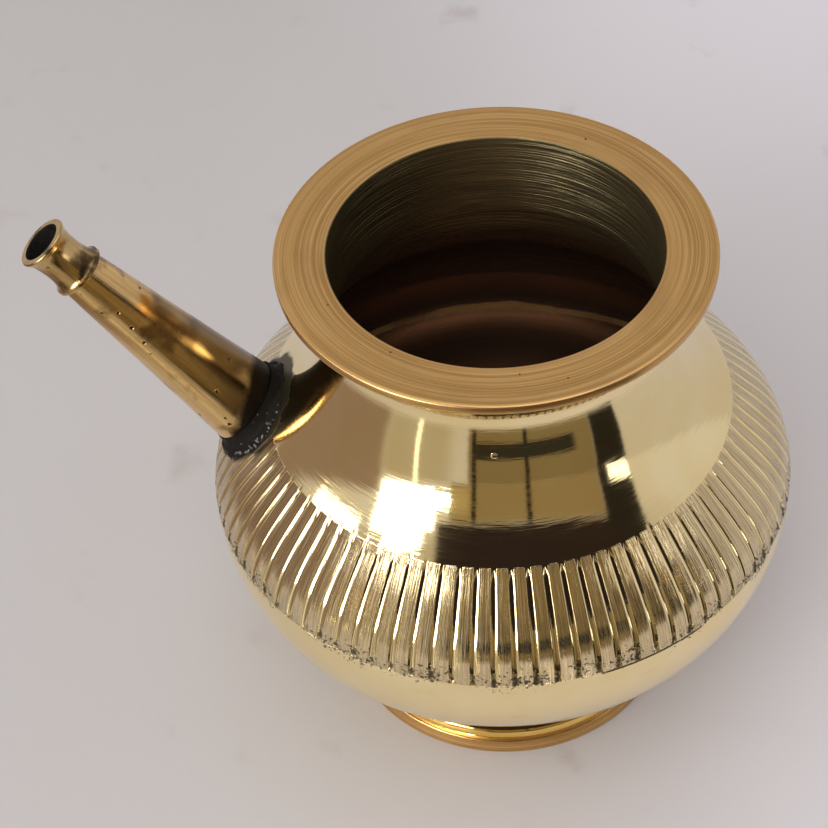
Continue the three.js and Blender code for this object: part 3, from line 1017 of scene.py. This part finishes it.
# %% Turn the foot
FOOT_RADIUS = 43 * MM
FLANGE_HEIGHT = 3.6 * MM
FLANGE_WIDTH = 4.5 * MM
FLANGE_SLOPE = 0.9 * MM
FLANGE_EDGE = 0.5 * MM
WAIST_RADIUS = 35.8 * MM
WAIST_HEIGHT = 11.52 * MM
FOOT_TOP_RADIUS = 37.4 * MM
FOOT_TOP = 16.52 * MM
FOOT_WALL = 3 * MM
FOOT_INNER = WAIST_RADIUS - FOOT_WALL
WAIST_EDGE = 0.05 * MM


def foot_outline():
    top_edge = (FOOT_RADIUS - FLANGE_SLOPE - FLANGE_EDGE, FLANGE_HEIGHT)
    waist = (WAIST_RADIUS, WAIST_HEIGHT)
    flange = arc(FOOT_RADIUS - FLANGE_EDGE, FLANGE_EDGE, FLANGE_EDGE, -90, 0)
    side_top = FOOT_RADIUS - FLANGE_SLOPE
    flange += arc(side_top - FLANGE_EDGE, FLANGE_HEIGHT - FLANGE_EDGE, FLANGE_EDGE, 0, 90)
    hollow = list(reversed(cove(waist, top_edge, 16)))
    neck = []
    for share in spread(0, 1, 8):
        radius = WAIST_RADIUS + (FOOT_TOP_RADIUS - WAIST_RADIUS) * share * share
        neck.append((radius, WAIST_HEIGHT + (FOOT_TOP - WAIST_HEIGHT) * share))
    inside = [(FOOT_INNER, FOOT_TOP), (FOOT_INNER, WAIST_HEIGHT)]
    return [(FOOT_RADIUS - FLANGE_WIDTH, 0), *flange, *hollow, *neck, *inside]


def in_waist(middle, normal):
    """Tells whether a face lies on the polished waist, above the flange."""
    return middle.z > FLANGE_HEIGHT + WAIST_EDGE and not faces_axis(middle, normal)


foot = turn_solid("turned_foot", foot_outline(), AROUND)
complete(foot, turned_brass, "foot_ring", [(polished_brass, in_waist)])

# %% Braze under the bowl
FILLET_GAP = 0.1 * MM


def bowl_height(radius):
    """Height of the bowl's underside over a radius."""
    return BELLY_HEIGHT - BOWL_DEPTH * math.sqrt(1 - (radius / BELLY_RADIUS) ** 2)


def foot_joint_outline():
    under = [(r, FOOT_TOP) for r in (FOOT_INNER, FOOT_TOP_RADIUS)]
    over = [(r, bowl_height(r) - FILLET_GAP) for r in spread(FOOT_TOP_RADIUS, FOOT_INNER, 6)]
    return under + over


foot_joint = turn_solid("foot_joint", foot_joint_outline(), AROUND)
complete(foot_joint, turned_brass, "foot_braze")

# %% [markdown]
# ## The spout
# The spout is a tapering cast tube, polished along its length. It is turned about an upright axis
# first, where its outline is easy to state, and then leaned over to its place. Its foot is trimmed
# with a copy of the body, as a file would fit it to the shoulder.

# %% Turn the spout tube
SPIGOT_LENGTH = 2.5 * MM
SPIGOT_RADIUS = 4.9 * MM
SPIGOT_BORE = 3.9 * MM
TUBE_END = SPOUT_LENGTH - NOZZLE_LENGTH
ROOT_REACH = 10 * MM
SPOUT_AROUND = 128
TRIM_GAP = 0.05 * MM


def tube_radius(along):
    return SPOUT_ROOT - (SPOUT_ROOT - SPOUT_TIP) * along / TUBE_END


def tube_outline():
    outside_rows = [(tube_radius(t), t) for t in spread(-ROOT_REACH, TUBE_END, 36)]
    spigot = [
        (SPIGOT_RADIUS, TUBE_END),
        (SPIGOT_RADIUS, TUBE_END + SPIGOT_LENGTH),
        (SPIGOT_BORE, TUBE_END + SPIGOT_LENGTH),
        (SPIGOT_BORE, TUBE_END),
    ]
    root_bore = (tube_radius(-ROOT_REACH) - SPOUT_WALL, -ROOT_REACH)
    return outside_rows + spigot + [root_bore]


def body_blank():
    """A solid copy of the upper body, just larger than it, for trimming what is brazed on."""
    heights = spread(BELLY_HEIGHT, NECK_BASE, 40)
    rows = [(shoulder_radius(z, -TRIM_GAP), z) for z in heights]
    blank = add_ring("body_blank", *rows[0], AROUND)
    edit_whole(blank)
    bpy.ops.mesh.edge_face_add()
    pull_wall(rows)
    close_skin()
    return blank


spout = turn_solid("spout", tube_outline(), SPOUT_AROUND, axis=0)
along_spout(spout)
carve(spout, body_blank())
complete(spout, cast_brass, "spout_tube")

# %% [markdown]
# ## The trumpet tip
# A short nozzle sits on the end of the tube: a sharp collar, a waist and a flared lip. Its bore
# has the braze's dark finish.

# %% Turn the trumpet tip
TIP_GAP = 0.1 * MM
LIP_RADIUS = 6.7 * MM
LIP_EDGE = 0.4 * MM
TIP_WAIST_RADIUS = 5.5 * MM
TIP_WAIST_DROP = 6.9 * MM
COLLAR_RADIUS = 6.9 * MM
COLLAR_RIM = 0.8 * MM
COLLAR_EDGE = 0.15 * MM
COLLAR_GAP = 0.3 * MM
MOUTH_BORE = 4.9 * MM
TIP_BORE = 4 * MM


def tip_outline():
    collar_foot = TUBE_END + COLLAR_GAP
    socket_top = collar_foot + SPIGOT_LENGTH
    waist = (TIP_WAIST_RADIUS, SPOUT_LENGTH - TIP_WAIST_DROP)
    collar = (COLLAR_RADIUS, collar_foot + COLLAR_RIM)
    lip = (LIP_RADIUS, SPOUT_LENGTH - 2 * LIP_EDGE)
    socket = SPIGOT_RADIUS + TIP_GAP
    points = [(socket, collar_foot)]
    points += arc(COLLAR_RADIUS - COLLAR_EDGE, collar_foot + COLLAR_EDGE, COLLAR_EDGE, -90, 0, 3)
    points += [collar, *reversed(cove(waist, collar, 12)), waist, *cove(waist, lip, 12)]
    points += arc(LIP_RADIUS - LIP_EDGE, SPOUT_LENGTH - LIP_EDGE, LIP_EDGE, 0, 90)
    points += arc(MOUTH_BORE + LIP_EDGE, SPOUT_LENGTH - LIP_EDGE, LIP_EDGE, 90, 180)
    points += [(TIP_BORE, waist[1]), (TIP_BORE, socket_top), (socket, socket_top)]
    return points


tip = turn_solid("trumpet_tip", tip_outline(), SPOUT_AROUND, axis=0)
dress(tip, tip_brass)
line_with(tip, dark_braze, faces_axis, axis=0)
along_spout(tip)
smooth(tip, SHARP)
hand_over(tip, "spout_nozzle")

# %% [markdown]
# ## The braze at the spout's root
# The spout is held by a rough fillet of braze that nobody polished. It starts as a turned fillet
# and is slanted to the body's wall, which isn't quite square to the spout. Two cloud patterns then
# push its skin in and out, one for the lumps that the torch left and one for its grain, and last
# the body trims it as it does the tube.

# %% Lay the braze
BEAD_WIDTH = 2 * MM
BEAD_HEIGHT = 3.4 * MM
BEAD_EDGE = 0.4 * MM
BODY_SLOPE = math.tan(math.radians(8.4))
LUMP_SIZE = 4 * MM
LUMP_HEIGHT = 1 * MM
GRAIN_SIZE = 0.8 * MM
GRAIN_HEIGHT = 0.4 * MM
FULL_PUSH = 1 * MM


def bead_outline():
    inner = [(tube_radius(t) + TRIM_GAP, t) for t in spread(BEAD_HEIGHT, -ROOT_REACH, 14)]
    skirt = (tube_radius(0) + BEAD_WIDTH, 0)
    crest = (tube_radius(BEAD_HEIGHT) + BEAD_EDGE, BEAD_HEIGHT)
    root = [(tube_radius(-ROOT_REACH) + BEAD_WIDTH, t) for t in spread(-ROOT_REACH, 0, 10)[:-1]]
    return [*inner, *root, skirt, *reversed(cove(crest, skirt, 16)), crest]


def push_skin(piece, name, size, height, group):
    """Moves the grouped points in and out by a cloud pattern, and keeps the result."""
    pattern = bpy.data.textures.new(name, "CLOUDS")
    pattern.noise_scale = size
    pattern.noise_depth = 2
    push = piece.modifiers.new(name, "DISPLACE")
    push.texture = pattern
    push.texture_coords = "LOCAL"
    push.strength = height
    push.mid_level = 0.5
    push.vertex_group = group
    pick(piece)
    bpy.ops.object.modifier_apply(modifier=push.name)


bead = turn_solid("braze_bead", bead_outline(), SPOUT_AROUND, axis=0)
skin = bead.vertex_groups.new(name="skin")
for point in bead.data.vertices:
    off_tube = math.hypot(point.co.x, point.co.y) - tube_radius(point.co.z)
    if off_tube > 2 * TRIM_GAP:
        skin.add([point.index], min(1.0, off_tube / FULL_PUSH), "REPLACE")
for point in bead.data.vertices:
    point.co.z += BODY_SLOPE * point.co.x
along_spout(bead)
push_skin(bead, "lumps", LUMP_SIZE, LUMP_HEIGHT, "skin")
push_skin(bead, "grain", GRAIN_SIZE, GRAIN_HEIGHT, "skin")
carve(bead, body_blank())
complete(bead, dark_braze, "spout_braze", sharp=60)

# %% [markdown]
# ## The plug
# The plug in the casting hole is a short rod with its edge just broken. It stands a little proud.

# %% Fit the plug
PLUG_PROUD = 0.02 * MM
PLUG_EDGE = 0.15 * MM

plug = add_rod("shoulder_plug", PLUG_RADIUS, -WALL, PLUG_PROUD, PLUG_SIDES)
edit_whole(plug)
bpy.ops.mesh.bevel(offset=PLUG_EDGE, segments=2)
bpy.ops.object.mode_set(mode="OBJECT")
across_wall(plug)
complete(plug, polished_brass, "casting_plug")

# %% [markdown]
# ## The camera
# It looks down on the pot from the photograph's place. That place and the lens were fitted together
# with the outline of the pot. The turn is in degrees.

# %% Place the camera
LENS_MM = 99.18
SENSOR_MM = 36
CAMERA_PLACE = (0.02581, -0.39304, 0.4957)
CAMERA_TURN = (43.706, 2.676, 1.318)

bpy.ops.object.camera_add(
    location=CAMERA_PLACE, rotation=[math.radians(angle) for angle in CAMERA_TURN]
)
camera = bpy.context.object
camera.data.lens = LENS_MM
camera.data.sensor_width = SENSOR_MM
bpy.context.scene.camera = camera
bpy.context.scene.view_settings.view_transform = "Standard"
print(f"the camera stands {CAMERA_PLACE[2]:.2f} m above the table")

# %% [markdown]
# ## The room
# A mirror shows what is round it, so polished brass needs a room: pale walls and a soft light
# above. In front stand an olive wall under a dark ceiling, with one wide and two thin dark posts.
# To its left follow a tan wall, with a bright gap in it, and a brown wall. The shoulder and the
# spout take their dark shapes from these.

# %% Helpers for the room
def towards(nodes, view, azimuths, soft):
    """One between two azimuths in degrees, with soft edges."""
    middle = math.radians(sum(azimuths) / 2)
    half = (azimuths[1] - azimuths[0]) / 2
    across = nodes.times(view.across, math.cos(middle))
    facing = nodes.line(view.along, math.sin(middle), across)
    edges = [math.cos(math.radians(half + side)) for side in (soft, -soft)]
    return nodes.ramp(facing, *edges)


def between(nodes, value, heights, soft):
    """One where the sine of a height angle lies between two heights in degrees."""
    low, high = heights
    edges = [math.sin(math.radians(h)) for h in (low - soft, low + soft, high + soft, high - soft)]
    over = nodes.ramp(value, edges[0], edges[1])
    return nodes.times(over, nodes.ramp(value, edges[2], edges[3]))


def colour_by(nodes, value, stops):
    """A colour that depends on a number, through the given stops."""
    node = nodes.add("ValToRGB")
    nodes.feed(node.inputs[0], value)
    elements = node.color_ramp.elements
    while len(elements) < len(stops):
        elements.new(0.5)
    for element, (position, colour) in zip(elements, stops):
        element.position = position
        element.color = (*colour, 1)
    return node.outputs[0]


# How the pale walls change with the sine of the height angle, up to the light above.
PALE_WALLS = [
    (0.0, (0.66, 0.63, 0.64)),
    (0.3, (0.64, 0.61, 0.62)),
    (0.5, (0.47, 0.43, 0.39)),
    (0.8, (0.46, 0.42, 0.38)),
    (0.95, (0.85, 0.82, 0.82)),
]
# Each patch: its colour, its azimuths, its heights and how soft its edges are, in degrees.
OLIVE_WALL = ((0.27, 0.205, 0.115), (-114.5, -40), (-1, 22), 1.2)
OLIVE_FOOT = ((0.21, 0.16, 0.09), (-106, -40), (-30, -1), 1.2)
DARK_CEILING = ((0.025, 0.017, 0.017), (-120, -24), (22.5, 60), 1.5)
DARK_POST = ((0.02, 0.018, 0.015), (-40, -24), (-30, 27), 1)
THIN_POSTS = [((0.02, 0.016, 0.012), (az - 1, az + 1), (-30, 22), 0.4) for az in (-76, -103)]
LIT_OLIVE = ((0.42, 0.33, 0.17), (-113, -108), (2, 18), 5)
BROWN_WALL = ((0.28, 0.21, 0.18), (-205, -151), (-30, 12), 2.5)
TAN_WALL = ((0.45, 0.4, 0.33), (-151, -116), (-30, 0), 5)
LIGHT_GAP = ((1.8, 1.7, 1.5), (-134.2, -132), (-25, 3), 0.5)
PATCHES = [BROWN_WALL, TAN_WALL, OLIVE_WALL, OLIVE_FOOT, LIT_OLIVE]
PATCHES += [*THIN_POSTS, DARK_CEILING, DARK_POST, LIGHT_GAP]
# On the floor, the skirting has distances from the pot's axis, in metres, in place of heights.
SKIRTING = ((0.03, 0.026, 0.02), (-103, -50), (0.23, 0.37), 2)
print(len(PATCHES), "patches in the room")

# %% Paint the room
room = bpy.data.worlds.new("room")
room.use_nodes = True
bpy.context.scene.world = room
nodes = Nodes(room.node_tree)
view = Round(nodes, nodes.add("TexCoord").outputs["Generated"])
walls = colour_by(nodes, nodes.calc("MAXIMUM", view.height, 0), PALE_WALLS)
for colour, azimuths, heights, soft in PATCHES:
    inside = nodes.times(
        towards(nodes, view, azimuths, soft),
        between(nodes, view.height, heights, soft),
    )
    walls = nodes.blend(inside, walls, colour)
light = room.node_tree.nodes["Background"]
nodes.feed(light.inputs["Color"], walls)
light.inputs["Strength"].default_value = 1
print("painted the room")

# %% [markdown]
# ## The lamps
# Five soft boxes stand in for two windows and a small lamp. The camera doesn't see them, but the
# brass does, as the white shapes on its shoulder. A large one hangs above for even light, and one
# in front lights the floor round the foot. The brass doesn't show that last one.

# %% Hang the lamps
FOCUS = (AXIS, 0, 0.09)


def add_soft_box(name, azimuth, height, distance, size, radiance, roll=0):
    """A soft box that faces the pot from an azimuth and a height angle, all in degrees."""
    clear_selection()
    side, up = math.radians(azimuth), math.radians(height)
    away = (math.cos(up) * math.cos(side), math.cos(up) * math.sin(side), math.sin(up))
    place = [centre + distance * part for centre, part in zip(FOCUS, away)]
    facing = (0, math.pi / 2 - up, side)
    bpy.ops.object.light_add(type="AREA", location=place, rotation=facing)
    box = bpy.context.object
    box.name = name
    box.rotation_euler.rotate_axis("Z", math.radians(roll))
    box.data.shape = "RECTANGLE"
    box.data.size, box.data.size_y = size
    box.data.energy = radiance * math.pi * size[0] * size[1]
    box.visible_camera = False
    return box


# Sizes are upright by across. The window is three boxes, because its corners are covered.
WINDOW_AWAY = 1.6
add_soft_box("window", -135.3, 14.8, WINDOW_AWAY, (0.53, 0.74), 10)
add_soft_box("window_top", -134.5, 26.4, WINDOW_AWAY, (0.15, 0.42), 10)
add_soft_box("window_side", -117.8, 11, WINDOW_AWAY, (0.24, 0.18), 10)
add_soft_box("second_window", -166.5, 20.5, WINDOW_AWAY, (0.13, 0.62), 6, roll=23)
add_soft_box("small_lamp", -30, 3.5, WINDOW_AWAY, (0.26, 0.3), 2.2)
add_soft_box("overhead", 0, 90, 2.2, (2.4, 2.4), 0.5)
floor_light = add_soft_box("floor_light", -100, 50, 2, (1.6, 1.6), 2.05)
floor_light.visible_glossy = False
print("hung the lamps")

# %% [markdown]
# ## The floor
# The pot stands on a plain pale surface that has a faint mottle and a few worn places. Its colour is
# painted lighter towards the right and in the far right corner, as painted light. Where the brass
# mirrors the floor further out, the floor glows with the foot of the room's walls instead, a painted
# reflection, so that each reflection runs on below the horizon. A dark skirting runs along the foot
# of the olive wall, in that painted reflection.

# %% Lay the floor
FLOOR_SIZE = 16
MOTTLE_AND_LIGHT_TONES = ((0.49, 0.47, 0.475), (0.63, 0.605, 0.635))
LIT_CORNER_TONE = (0.74, 0.72, 0.79)
WEAR_TONE = (0.38, 0.34, 0.32)
clear_selection()
bpy.ops.mesh.primitive_plane_add(size=FLOOR_SIZE, location=(0, 0, 0))
floor = take_name(bpy.context.object, "floor")

pale_floor, nodes, shader = start_finish("pale_floor")
shader.inputs["Metallic"].default_value = 0
place = place_on(nodes)
here = Round(nodes, place)
mottle = nodes.grain(place, scale=9, detail=5)
wear = nodes.grain(place, w=4, scale=38, detail=6)
# Painted light: the colour grows lighter towards the right, and lighter still in the far right
# corner.
tone = nodes.line(mottle, 0.1, here.x)
colour = nodes.blend(nodes.ramp(tone, -0.08, 0.2), *MOTTLE_AND_LIGHT_TONES)
corner = nodes.plus(here.x, here.y)
colour = nodes.blend(nodes.ramp(corner, 0.18, 0.5), colour, LIT_CORNER_TONE)
colour = nodes.blend(nodes.ramp(wear, 0.6, 0.78, 0, 0.7), colour, WEAR_TONE)
coat(nodes, shader, colour, 0.45, nodes.bump(wear, 0.3 * MM))

# %% Let the brass see the walls run on
WALL_FOOT = 0.15
PALE_FOOT = (0.56, 0.53, 0.54)
FOOT_SOFT = 0.03
REACHES_FLOOR = -20
SKIRTING_SOFT = (0.015, 0.02)

mirrored = PALE_FOOT
for wall_colour, azimuths, heights, soft in PATCHES:
    if heights[0] < REACHES_FLOOR:
        mirrored = nodes.blend(towards(nodes, here, azimuths, soft), mirrored, wall_colour)
wall_colour, azimuths, reach, soft = SKIRTING
skirting = nodes.ramp(here.radius, reach[0] - SKIRTING_SOFT[0], reach[0])
far_edge = nodes.ramp(here.radius, reach[1], reach[1] - SKIRTING_SOFT[1])
skirting = nodes.times(skirting, far_edge)
skirting = nodes.times(skirting, towards(nodes, here, azimuths, soft))
mirrored = nodes.blend(skirting, mirrored, wall_colour)
glow = nodes.add("Emission")
nodes.feed(glow.inputs["Color"], mirrored)
away = nodes.ramp(here.radius, WALL_FOOT, WALL_FOOT + FOOT_SOFT)
share = nodes.times(nodes.add("LightPath").outputs["Is Glossy Ray"], away)
mixed = nodes.fill(nodes.add("MixShader"), share, shader.outputs[0], glow.outputs[0])
nodes.feed(pale_floor.node_tree.nodes["Material Output"].inputs["Surface"], mixed)
dress(floor, pale_floor)
print("laid the floor")

# %% [markdown]
